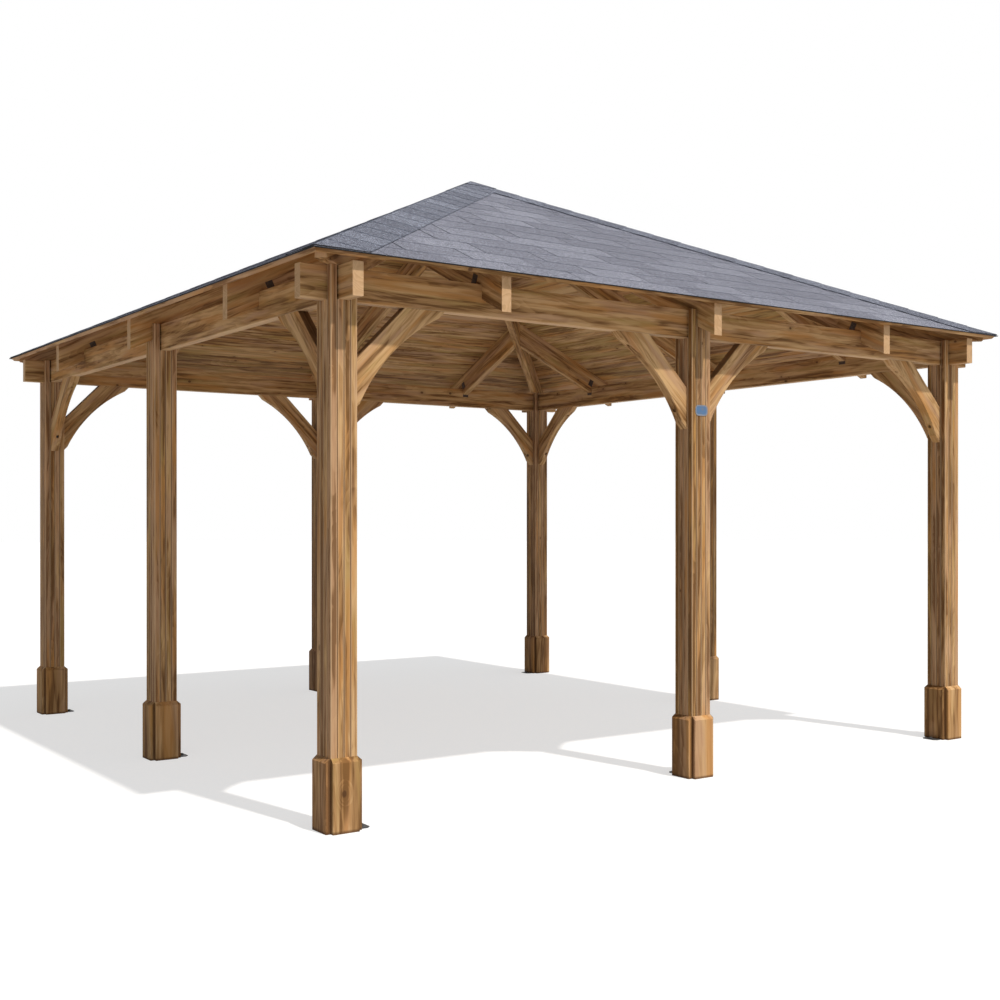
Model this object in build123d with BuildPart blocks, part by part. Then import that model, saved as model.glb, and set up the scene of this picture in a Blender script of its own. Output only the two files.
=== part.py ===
from build123d import *
from math import atan, cos, radians, sin, sqrt, tan
import os

# Garden gazebo: eight timber posts on a square, four beams, and a hipped roof of rafters, boards and felt.
# Millimetres, +Z up, origin on the ground at the middle of the square, front towards -Y.

# Setting out
post_spacing = 3612.0  # corner post to corner post, centre to centre
headroom = 1971.0  # ground to the underside of the beams
pitch = 25.0  # slope of the roof, degrees

# Posts, each laminated from square strips
strip = 28.0
strips_per_side = 4
groove_depth = 3.0  # V groove at each glue line
post_arris = 2.5

# Skirts, four boards around each post foot
skirt_thickness = 20.0
skirt_height = 278.0
skirt_bevel = 17.0  # drop of the bevelled top
skirt_arris = 2.0

# Beams, halved over each other at the corners
beam_thickness = 45.0
beam_depth = 127.0
beam_overhang = 107.0  # past the post faces
timber_arris = 2.0  # eased long edges of beams, rafters and braces

# Rafters
rafter_thickness = 45.0
rafter_depth = 130.0
rafter_rise = 92.5  # rafter tops above the beams, over the middle of a beam
rafter_overhang = 106.0  # plumb-cut tails, past the post faces
jack_spacing = 1145.0  # jack rafters, from the middle of each side
hip_depth = 145.0
hip_overhang = 84.0  # hip tails, past the post faces along X and along Y
king_spare = 3.2  # face of the king block left bare on each side of a rafter end
king_drop = 34.0  # king block below the common rafters
king_chamfer = 12.0

# Knee braces, each cut from one board with a hollowed lower edge
brace_thickness = 45.0
brace_leg = 224.0  # inner leg, along the post and along the beam
brace_board = 130.0
brace_stub = 40.0  # straight stretch at each end of the hollow
brace_hollow = 42.0
pocket_radius = 9.0  # round pockets for the screws at both ends
pocket_inset = 325.0  # their middles, along the post and along the beam
pocket_seat = 40.0  # timber left under a screw head

# Roof covering
board_thickness = 18.0
board_overhang = 24.0  # past the rafter tails
felt_thickness = 3.5
felt_overhang = 8.0  # past the boards

# Steel ground brackets
bracket_steel = 3.0
bracket_width = 90.0
bracket_flange = 46.0
bracket_leg = 60.0
bracket_nose = 15.0  # cut corners of the flange
bracket_hole = 5.5  # radius

# Bare plate on the front middle post
plate_width = 74.0
plate_height = 48.0
plate_thickness = 2.0
plate_corner = 3.0
plate_drop = 325.0  # middle of the plate, below the beams

# Clearances
slot_gap = 5.5  # beam or rafter to each side of the slot in a post head
joint_gap = 0.3  # end grain to its neighbour, and each side of a housing
mitre_gap = 0.5  # between the boards of two slopes at a hip
bed_gap = 0.1  # boards above the rafters, and felt above the boards

# Sizes that follow from the values above
slope = tan(radians(pitch))
post_size = strip * strips_per_side
post_face = post_size / 2
post_line = post_spacing / 2
slot_width = beam_thickness + 2 * slot_gap
beam_top = headroom + beam_depth
ridge_level = beam_top + rafter_rise + post_line * slope  # rafter tops, run on to the middle
rafter_plumb = rafter_depth / cos(radians(pitch))
hip_slope = slope / sqrt(2)
hip_plumb = hip_depth / cos(atan(hip_slope))
king_face = (rafter_thickness / 2 + king_spare) / tan(radians(22.5))
rafter_tail = post_line + post_face + rafter_overhang
hip_tail = post_line + post_face + hip_overhang
board_reach = rafter_tail + board_overhang
felt_reach = board_reach + felt_overhang
brace_reach = brace_leg + brace_board * sqrt(2)
corners = {"front_left": 0, "front_right": 90, "back_right": 180, "back_left": 270}
sides = {"front": 0, "right": 90, "back": 180, "left": 270}


# One side of the square, turned about the middle so that the front's values serve all four
def side_plane(turn):
    return Plane.XY.rotated((0, 0, turn))


# Level plane at a point of a side, turned with it
def level_plane(turn, across, out):
    side = side_plane(turn)
    start = side.from_local_coords((across, -out, 0))
    return Plane(origin=start, x_dir=side.x_dir, z_dir=(0, 0, 1))


# Upright plane pointing outwards: local x is the distance out, local y the height
def outward_plane(turn, across=0.0):
    side = side_plane(turn)
    start = side.from_local_coords((across, 0, 0))
    return Plane(origin=start, x_dir=-side.y_dir, z_dir=-side.x_dir)


# Upright plane along a side, through the middle of its beam: local y is the height
def beam_plane(turn):
    side = side_plane(turn)
    start = side.from_local_coords((0, -post_line, 0))
    return Plane(origin=start, x_dir=side.x_dir, z_dir=-side.y_dir)


# Plane of the rafter tops on one side, raised square to itself: local y runs up the slope
def slope_plane(turn, rise=0.0):
    side = side_plane(turn)
    normal = Vector(0, 0, 1) - side.y_dir * slope
    return Plane(origin=(0, 0, ridge_level), x_dir=side.x_dir, z_dir=normal).offset(rise)


# Upright plane beside the hip at one end of a side, facing the middle of that side
def hip_side_plane(turn, hand, gap):
    side = side_plane(turn)
    start = side.from_local_coords((0, -gap * sqrt(2), 0))
    return Plane(origin=start, z_dir=-side.y_dir - side.x_dir * hand)


# Height of the rafter tops at a distance from the middle
def rafter_top(out):
    return ridge_level - out * slope


# Square post section with a V groove at each glue line
def post_section(plane):
    glue_lines = [(0, strip * n - post_face) for n in range(1, strips_per_side)]
    with BuildSketch(plane) as section:
        Rectangle(post_size, post_size)
        chamfer(section.vertices(), post_arris)
        with PolarLocations(post_face, 4):
            with Locations(*glue_lines):
                Rectangle(groove_depth * sqrt(2), groove_depth * sqrt(2), rotation=45, mode=Mode.SUBTRACT)
    return section.sketch


# Rafter seen from the side: plumb-cut tail, and a notch that drops over the beam
def rafter_outline(plane, inner_end):
    with BuildSketch(plane) as outline:
        with BuildLine():
            Polyline(
                (inner_end, rafter_top(inner_end)),
                (rafter_tail, rafter_top(rafter_tail)),
                (rafter_tail, rafter_top(rafter_tail) - rafter_plumb),
                (inner_end, rafter_top(inner_end) - rafter_plumb),
                close=True,
            )
        make_face()
        with Locations((post_line, beam_top - beam_depth / 2)):
            Rectangle(beam_thickness + 2 * joint_gap, beam_depth, mode=Mode.SUBTRACT)
    return outline.sketch


# Long edges on the underside of the rafters of one side
def underside_edges(rafters, turn):
    tops = slope_plane(turn)
    across = Axis(tops.origin, tops.x_dir)
    lowest = rafters.edges().group_by(lambda edge: round(tops.to_local_coords(edge.center()).Z, 1))[0]
    return lowest.filter_by(across, reverse=True)


# Height that an edge of a hip rafter would reach if it ran on to the middle of the plan
def height_at_middle(edge):
    centre = edge.center()
    return round(centre.Z + Vector(centre.X, centre.Y).length * hip_slope)


# Knee brace between a post face and the beam, its lower edge hollowed between two straight stubs
def brace_outline(plane, start, hand):
    near = brace_stub / sqrt(2)
    far = brace_reach - near
    middle = (brace_reach - brace_hollow * sqrt(2)) / 2
    corner_points = [
        (near, far),
        (0, brace_reach),
        (0, brace_leg),
        (brace_leg, 0),
        (brace_reach, 0),
        (far, near),
    ]
    points = [(start + hand * along, headroom - down) for along, down in corner_points]
    with BuildSketch(plane) as outline:
        with BuildLine():
            Polyline(*points)
            ThreePointArc(points[-1], (start + hand * middle, headroom - middle), points[0])
        make_face()
    return outline.sketch


# Seats of the two screw pockets of a brace: one faces away from the post, the other down from the beam
def pocket_seats(plane, start, hand):
    foot = plane.from_local_coords((start + hand * pocket_seat, headroom - pocket_inset))
    head = plane.from_local_coords((start + hand * pocket_inset, headroom - pocket_seat))
    return Plane(origin=foot, z_dir=plane.x_dir * hand), Plane(origin=head, z_dir=(0, 0, -1))


# Braces of one post, with eased edges except where they bear, and a pocket at each end
def cut_braces(places):
    with BuildPart() as braces:
        for plane, start, hand in places:
            extrude(brace_outline(plane, start, hand), amount=brace_thickness / 2, both=True)
        edges = braces.edges()
        for bearing in (Axis.X, Axis.Y, Axis.Z):
            edges = edges.filter_by(bearing, reverse=True)
        chamfer(edges, timber_arris)
        for plane, start, hand in places:
            for seat in pocket_seats(plane, start, hand):
                with BuildSketch(seat):
                    Circle(pocket_radius)
                extrude(amount=brace_board, mode=Mode.SUBTRACT)
    return braces


# One slope of the roof as a wide sheet, before its two hips are mitred
def slope_outline(turn, rise, thickness, reach):
    length = (reach - (rise + thickness) * sin(radians(pitch))) / cos(radians(pitch))
    over_ridge = 2 * (rise + thickness)
    with BuildSketch(slope_plane(turn, rise)) as outline:
        with Locations((0, (over_ridge - length) / 2)):
            Rectangle(2.5 * reach, length + over_ridge)
    return outline.sketch


os.makedirs("parts", exist_ok=True)

# Corner posts: four tongues stand round a cross of slots for the two beams
for name, turn in corners.items():
    foot = level_plane(turn, -post_line, post_line)
    with BuildPart() as post:
        extrude(post_section(foot), amount=beam_top)
        with BuildSketch(foot.offset(headroom)):
            Rectangle(post_size, slot_width)
            Rectangle(slot_width, post_size)
        extrude(amount=beam_depth, mode=Mode.SUBTRACT)
    post.part.label = f"post_{name}"
    export_step(post.part, f"parts/post_{name}.step")

# Middle posts: one slot for the beam, crossed by a sloping one for the common rafter
for name, turn in sides.items():
    foot = level_plane(turn, 0, post_line)
    near = post_line - post_size
    far = post_line + post_size
    with BuildPart() as post:
        extrude(post_section(foot), amount=beam_top)
        with BuildSketch(foot.offset(headroom)):
            Rectangle(post_size, slot_width)
        extrude(amount=beam_depth, mode=Mode.SUBTRACT)
        with BuildSketch(outward_plane(turn)):
            with BuildLine():
                Polyline(
                    (near, rafter_top(near) - rafter_plumb - joint_gap),
                    (far, rafter_top(far) - rafter_plumb - joint_gap),
                    (far, ridge_level),
                    (near, ridge_level),
                    close=True,
                )
            make_face()
        extrude(amount=slot_width / 2, both=True, mode=Mode.SUBTRACT)
    post.part.label = f"post_{name}_middle"
    export_step(post.part, f"parts/post_{name}_middle.step")

# Skirts: four bevelled boards round each foot, each as wide as the post
post_places = {name: (turn, -post_line) for name, turn in corners.items()}
post_places |= {f"{name}_middle": (turn, 0) for name, turn in sides.items()}
for name, (turn, across) in post_places.items():
    foot = level_plane(turn, across, post_line)
    with BuildPart() as skirt:
        for quarter in (0, 90, 180, 270):
            face = foot.rotated((0, 0, quarter))
            with BuildSketch(Plane(origin=foot.origin, x_dir=-face.y_dir, z_dir=-face.x_dir)):
                with BuildLine():
                    Polyline(
                        (post_face, 0),
                        (post_face + skirt_thickness, 0),
                        (post_face + skirt_thickness, skirt_height - skirt_bevel),
                        (post_face, skirt_height),
                        close=True,
                    )
                make_face()
            extrude(amount=post_face, both=True)
        uprights = skirt.edges().filter_by(Axis.Z)
        chamfer(uprights.group_by(lambda edge: round((edge.center() - foot.origin).length))[-1], skirt_arris)
    skirt.part.label = f"skirt_{name}"
    export_step(skirt.part, f"parts/skirt_{name}.step")

# Beams: the front and back ones are cut from above at the corners, the side ones from below
for name, turn in sides.items():
    face = beam_plane(turn)
    lap_level = headroom + beam_depth * (0.25 if name in ("left", "right") else 0.75)
    with BuildPart() as beam:
        with BuildSketch(face):
            with Locations((0, headroom + beam_depth / 2)):
                Rectangle(2 * (post_line + post_face + beam_overhang), beam_depth)
        extrude(amount=beam_thickness / 2, both=True)
        chamfer(beam.edges().filter_by(Axis(face.origin, face.x_dir)), timber_arris)
        with BuildSketch(face):
            with Locations((-post_line, lap_level), (post_line, lap_level)):
                Rectangle(beam_thickness + 2 * joint_gap, beam_depth / 2)
        extrude(amount=beam_thickness, both=True, mode=Mode.SUBTRACT)
    beam.part.label = f"beam_{name}"
    export_step(beam.part, f"parts/beam_{name}.step")

# Knee braces: two at each corner post, two at the front and back middle posts
for name, turn in corners.items():
    inner_face = post_line - post_face
    braces = cut_braces([(beam_plane(turn), -inner_face, 1), (beam_plane(turn - 90), inner_face, -1)])
    braces.part.label = f"braces_{name}"
    export_step(braces.part, f"parts/braces_{name}.step")

for name in ("front", "back"):
    braces = cut_braces([(beam_plane(sides[name]), hand * post_face, hand) for hand in (-1, 1)])
    braces.part.label = f"braces_{name}_middle"
    export_step(braces.part, f"parts/braces_{name}_middle.step")

# King block: octagon at the peak that takes the ends of the hips and common rafters
with BuildPart() as king:
    king_bottom = rafter_top(king_face) - rafter_plumb - king_drop
    with BuildSketch(Plane.XY.offset(king_bottom)):
        RegularPolygon(king_face, 8, major_radius=False, rotation=22.5)
    extrude(amount=rafter_top(king_face) - king_bottom)
    chamfer(king.edges().group_by(Axis.Z)[0], king_chamfer)
king.part.label = "king_block"
export_step(king.part, "parts/king_block.step")

# Common rafters, through the heads of the middle posts to the king block
for name, turn in sides.items():
    with BuildPart() as rafter:
        outline = rafter_outline(outward_plane(turn), king_face + joint_gap)
        extrude(outline, amount=rafter_thickness / 2, both=True)
        chamfer(underside_edges(rafter, turn), timber_arris)
    rafter.part.label = f"rafter_{name}"
    export_step(rafter.part, f"parts/rafter_{name}.step")

# Jack rafters, a pair on each side, cut in plan against the hips
for name, turn in sides.items():
    with BuildPart() as jacks:
        for hand in (-1, 1):
            outline = rafter_outline(outward_plane(turn, hand * jack_spacing), 0)
            extrude(outline, amount=rafter_thickness / 2, both=True)
        chamfer(underside_edges(jacks, turn), timber_arris)
        for hand in (-1, 1):
            split(bisect_by=hip_side_plane(turn, hand, rafter_thickness / 2 + joint_gap), keep=Keep.TOP)
    jacks.part.label = f"jack_rafters_{name}"
    export_step(jacks.part, f"parts/jack_rafters_{name}.step")

# Hip rafters: level seat on the post head, plumb tail, top backed to both slopes
for name, turn in corners.items():
    inner = king_face + joint_gap
    tail = hip_tail * sqrt(2)
    seat_start = (ridge_level - hip_plumb - beam_top) / hip_slope
    with BuildPart() as hip:
        with BuildSketch(outward_plane(turn - 45)):
            with BuildLine():
                Polyline(
                    (inner, ridge_level - inner * hip_slope),
                    (tail, ridge_level - tail * hip_slope),
                    (tail, beam_top),
                    (seat_start, beam_top),
                    (inner, ridge_level - hip_plumb - inner * hip_slope),
                    close=True,
                )
            make_face()
        extrude(amount=rafter_thickness / 2, both=True)
        down_hip = Axis((0, 0, 0), outward_plane(turn - 45).x_dir - Vector(0, 0, hip_slope))
        chamfer(hip.edges().filter_by(down_hip).group_by(height_at_middle)[0], timber_arris)
        for neighbour in (turn, turn - 90):
            split(bisect_by=slope_plane(neighbour), keep=Keep.BOTTOM)
    hip.part.label = f"hip_rafter_{name}"
    export_step(hip.part, f"parts/hip_rafter_{name}.step")

# Roof boards, one deck on each slope, mitred at the hips
for name, turn in sides.items():
    with BuildPart() as deck:
        extrude(slope_outline(turn, bed_gap, board_thickness, board_reach), amount=board_thickness)
        for hand in (-1, 1):
            split(bisect_by=hip_side_plane(turn, hand, mitre_gap / 2), keep=Keep.TOP)
    deck.part.label = f"roof_boards_{name}"
    export_step(deck.part, f"parts/roof_boards_{name}.step")

# Roof felt, one thin hipped shell over the boards
felt_slopes = []
felt_rise = board_thickness + 2 * bed_gap
for turn in sides.values():
    with BuildPart() as felt_slope:
        extrude(slope_outline(turn, felt_rise, felt_thickness, felt_reach), amount=felt_thickness)
        for hand in (-1, 1):
            split(bisect_by=hip_side_plane(turn, hand, 0), keep=Keep.TOP)
    felt_slopes.append(felt_slope.part)
with BuildPart() as felt:
    add(felt_slopes)
felt.part.label = "roof_felt"
export_step(felt.part, "parts/roof_felt.step")

# Bare plate on the front face of the front middle post
with BuildPart() as plate:
    with BuildSketch(Plane.XZ.offset(post_line + post_face)):
        with Locations((0, headroom - plate_drop)):
            RectangleRounded(plate_width, plate_height, plate_corner)
    extrude(amount=plate_thickness)
plate.part.label = "plain_plate"
export_step(plate.part, "parts/plain_plate.step")

# Ground brackets: steel angles on the inner side of each foot, with one anchor hole in the flange
bracket_places = [(-post_line, y, 90) for y in (-post_line, 0, post_line)]
bracket_places += [(post_line, y, 270) for y in (-post_line, 0, post_line)]
bracket_places += [(0, -post_line, 180), (0, post_line, 0)]
bracket_start = post_face + skirt_thickness
bracket_end = bracket_start + bracket_flange
with BuildPart() as brackets:
    for x, y, turn in bracket_places:
        foot = Plane(origin=(x, y, 0), x_dir=side_plane(turn).x_dir, z_dir=(0, 0, 1))
        with BuildSketch(foot):
            with BuildLine():
                Polyline(
                    (-bracket_width / 2, -bracket_start),
                    (-bracket_width / 2, bracket_nose - bracket_end),
                    (bracket_nose - bracket_width / 2, -bracket_end),
                    (bracket_width / 2 - bracket_nose, -bracket_end),
                    (bracket_width / 2, bracket_nose - bracket_end),
                    (bracket_width / 2, -bracket_start),
                    close=True,
                )
            make_face()
            with Locations((0, -bracket_start - (bracket_steel + bracket_flange) / 2)):
                Circle(bracket_hole, mode=Mode.SUBTRACT)
        extrude(amount=bracket_steel)
        with BuildSketch(foot):
            with Locations((0, -bracket_start - bracket_steel / 2)):
                Rectangle(bracket_width, bracket_steel)
        extrude(amount=bracket_leg)
brackets.part.label = "ground_brackets"
export_step(brackets.part, "parts/ground_brackets.step")
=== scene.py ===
import math
import random

import bmesh
import bpy
from mathutils import Matrix, Vector


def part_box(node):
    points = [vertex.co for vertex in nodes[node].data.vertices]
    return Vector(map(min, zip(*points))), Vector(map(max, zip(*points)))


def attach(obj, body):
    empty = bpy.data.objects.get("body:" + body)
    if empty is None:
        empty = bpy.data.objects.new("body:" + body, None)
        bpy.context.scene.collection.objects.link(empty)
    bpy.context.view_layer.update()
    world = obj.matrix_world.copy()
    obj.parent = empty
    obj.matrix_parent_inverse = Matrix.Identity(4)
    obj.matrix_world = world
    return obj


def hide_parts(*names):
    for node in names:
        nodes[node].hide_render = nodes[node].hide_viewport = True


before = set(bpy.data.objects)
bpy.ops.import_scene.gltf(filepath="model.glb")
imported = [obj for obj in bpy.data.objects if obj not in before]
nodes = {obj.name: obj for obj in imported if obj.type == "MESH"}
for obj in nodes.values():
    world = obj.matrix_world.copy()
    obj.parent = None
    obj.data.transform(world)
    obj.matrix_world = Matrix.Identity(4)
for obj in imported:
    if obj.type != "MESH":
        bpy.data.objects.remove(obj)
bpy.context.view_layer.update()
bpy.ops.object.select_all(action="DESELECT")
bpy.context.tool_settings.mesh_select_mode = (False, True, False)
sides = {"front": 0, "right": 90, "back": 180, "left": 270}
corners = {"front_left": 0, "front_right": 90, "back_right": 180, "back_left": 270}
seeds = random.Random(7)

view = {
    "place": (-4.1232, -6.1767, 1.1631),
    "tilt": 89.905,
    "heading": -34.957,
    "lens": 47.34,
    "shift": (0.00091, 0.02033),
}
daylight = {
    "sun": 3.2,
    "sunSoftness": 1.2,
    "sunRise": 59.7,
    "sunAcross": 8.9,
    "sunColour": (1.0, 0.96, 0.9),
    "skyLow": 0.05,
    "skyHigh": 0.62,
    "skyBright": (0.45, -0.88, 0.15),
    "skyColour": (0.92, 0.96, 1.0),
    "floorGlow": 0.628,
    "floorSeen": 0.42,
    "floorBounce": 0.5,
    "floorFill": 0.12,
}
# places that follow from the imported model, in metres
postPitch = (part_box("post_front_right")[0].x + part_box("post_front_right")[1].x) / 2
postHalf = (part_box("post_front_right")[1].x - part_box("post_front_right")[0].x) / 2
stripWidth = postHalf / 2
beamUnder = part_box("beam_front")[0].z
roof = {
    "peak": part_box("roof_felt")[1].z,
    "reach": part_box("roof_felt")[1].x,
    "slope": math.radians(25),
    "boardThickness": 0.018,
    "feltThickness": 0.0035,
    "boardReach": 0.0005,
}
roof["deckPeak"] = roof["peak"] - roof["feltThickness"] / math.cos(roof["slope"])
roof["boardEdge"] = (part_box("roof_boards_front")[1].x + roof["boardReach"]) / math.cos(roof["slope"])


# Camera, light and floor
def addCamera():
    bpy.ops.object.camera_add(location=view["place"])
    camera = bpy.context.object
    camera.name = "photoCamera"
    camera.rotation_euler = (math.radians(view["tilt"]), 0, math.radians(view["heading"]))
    camera.data.lens = view["lens"]
    camera.data.shift_x, camera.data.shift_y = view["shift"]
    bpy.context.scene.camera = camera
    bpy.context.scene.view_settings.view_transform = "Standard"


def addSun():
    bpy.ops.object.light_add(type="SUN", location=(0, -3, 6))
    sun = bpy.context.object
    sun.name = "keyLight"
    sun.data.energy = daylight["sun"]
    sun.data.color = daylight["sunColour"]
    sun.data.angle = math.radians(daylight["sunSoftness"])
    rise = math.radians(daylight["sunRise"])
    turn = math.radians(daylight["sunAcross"])
    travel = Vector((-math.sin(turn) * math.cos(rise), math.cos(turn) * math.cos(rise), -math.sin(rise)))
    sun.rotation_euler = travel.to_track_quat("-Z", "Y").to_euler()


# Node helpers: feeds are links where they are sockets, and values where they aren't
def put(tree, kind, feeds=None, **settings):
    node = tree.nodes.new("ShaderNode" + kind)
    for key, value in settings.items():
        setattr(node, key, value)
    for key, value in (feeds or {}).items():
        if isinstance(value, bpy.types.NodeSocket):
            tree.links.new(value, node.inputs[key])
        else:
            node.inputs[key].default_value = value
    return node


def calc(tree, operation, *values):
    return put(tree, "Math", dict(enumerate(values)), operation=operation).outputs[0]


def spread(tree, value, low, high, newLow=0.0, newHigh=1.0, smooth=True):
    kind = "SMOOTHSTEP" if smooth else "LINEAR"
    feeds = {"Value": value, "From Min": low, "From Max": high, "To Min": newLow, "To Max": newHigh}
    return put(tree, "MapRange", feeds, interpolation_type=kind).outputs["Result"]


# sockets 0, 6 and 7 of a colour mix are its factor and its two colours
def blendColour(tree, amount, first, second):
    node = put(tree, "Mix", data_type="RGBA", clamp_factor=True)
    for name, value in ((0, amount), (6, first), (7, second)):
        if isinstance(value, bpy.types.NodeSocket):
            tree.links.new(value, node.inputs[name])
        else:
            node.inputs[name].default_value = value if name == 0 else (*value, 1)
    return node.outputs[2]


def joinVector(tree, x, y, z):
    return put(tree, "CombineXYZ", {"X": x, "Y": y, "Z": z}).outputs[0]


def noise(tree, place, scale, detail=2.0, roughness=0.5, distortion=0.0):
    feeds = {"Vector": place, "Scale": scale, "Detail": detail}
    feeds.update({"Roughness": roughness, "Distortion": distortion})
    return put(tree, "TexNoise", feeds).outputs["Fac"]


def stretched(tree, place, along, across):
    return put(tree, "VectorMath", {0: place, 1: (along, across, across)}, operation="MULTIPLY").outputs[0]


def shifted(tree, vector, amount):
    return put(tree, "VectorMath", {0: vector, 1: amount}, operation="ADD").outputs[0]


def scaled(tree, vector, factor):
    return put(tree, "VectorMath", {0: vector, "Scale": factor}, operation="SCALE").outputs[0]


def absolute(tree, value):
    return calc(tree, "ABSOLUTE", value)


# rays that show the white studio; all others meet the sky and floor that light the gazebo
def seenByEye(tree):
    path = put(tree, "LightPath")
    direct = calc(tree, "MAXIMUM", path.outputs["Is Camera Ray"], path.outputs["Is Glossy Ray"])
    return calc(tree, "MAXIMUM", direct, path.outputs["Is Transmission Ray"])


def addSky():
    world = bpy.data.worlds.new("studioSky")
    bpy.context.scene.world = world
    world.use_nodes = True
    tree = world.node_tree
    tree.nodes.clear()
    towards = put(tree, "TexCoord").outputs["Generated"]
    bright = put(tree, "VectorMath", {0: towards, 1: daylight["skyBright"]}, operation="DOT_PRODUCT")
    level = spread(tree, bright.outputs["Value"], -0.5, 0.9, daylight["skyLow"], daylight["skyHigh"])
    lit = put(tree, "Background", {"Color": (*daylight["skyColour"], 1), "Strength": level})
    white = put(tree, "Background", {"Color": (1, 1, 1, 1), "Strength": 1.0})
    choice = put(tree, "MixShader", {0: seenByEye(tree), 1: lit.outputs[0], 2: white.outputs[0]})
    put(tree, "OutputWorld", {0: choice.outputs[0]})


def addFloor():
    bpy.ops.mesh.primitive_circle_add(vertices=96, radius=60, fill_type="NGON")
    floor = bpy.context.object
    floor.name = "paleFloor"
    finish = bpy.data.materials.new("paleFloor")
    finish.use_nodes = True
    tree = finish.node_tree
    tree.nodes.clear()
    seen = put(tree, "BsdfDiffuse", {"Color": (daylight["floorSeen"],) * 3 + (1,)})
    glow = put(tree, "Emission", {"Strength": daylight["floorGlow"]})
    turnedUp = put(tree, "BsdfDiffuse", {"Color": (daylight["floorBounce"],) * 3 + (1,)})
    fill = put(tree, "Emission", {"Strength": daylight["floorFill"]})
    bounce = put(tree, "AddShader", {0: turnedUp.outputs[0], 1: fill.outputs[0]})
    both = put(tree, "AddShader", {0: seen.outputs[0], 1: glow.outputs[0]})
    choice = put(tree, "MixShader", {0: seenByEye(tree), 1: bounce.outputs[0], 2: both.outputs[0]})
    put(tree, "OutputMaterial", {0: choice.outputs[0]})
    floor.data.materials.append(finish)


# Timber: its colours, and the size and pace of its figure
timber = {
    "light": (0.60, 0.375, 0.18),
    "middle": (0.40, 0.222, 0.092),
    "dark": (0.165, 0.078, 0.026),
    "olive": (0.37, 0.235, 0.07),
    "orange": (0.50, 0.225, 0.06),
    "pink": (0.47, 0.275, 0.165),
    "knot": (0.075, 0.032, 0.012),
    "endGrain": (0.62, 0.40, 0.225),
    # painted shade: the colour laid into grooves, open corners, the skirts' feet and the braces' upper faces
    "groove": (0.085, 0.038, 0.014),
    # painted highlight: the colour laid along arrises where they would catch the light
    "worn": (0.68, 0.46, 0.27),
    "ringWidth": 0.0095,
    "ringBend": 0.17,
    "knotCell": 0.17,
    "knotsKept": 0.72,
    "knotSize": (0.022, 0.052),
    # how fast each figure changes along and across the grain, per metre
    "fibre": (20.0, 600.0),
    "streak": (3.2, 58.0),
    "broad": (1.9, 20.0),
    "patch": (2.8, 21.0),
    "warm": (2.1, 21.0),
    "fibreDepth": 0.0006,
    "gloss": 0.14,
}
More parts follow.
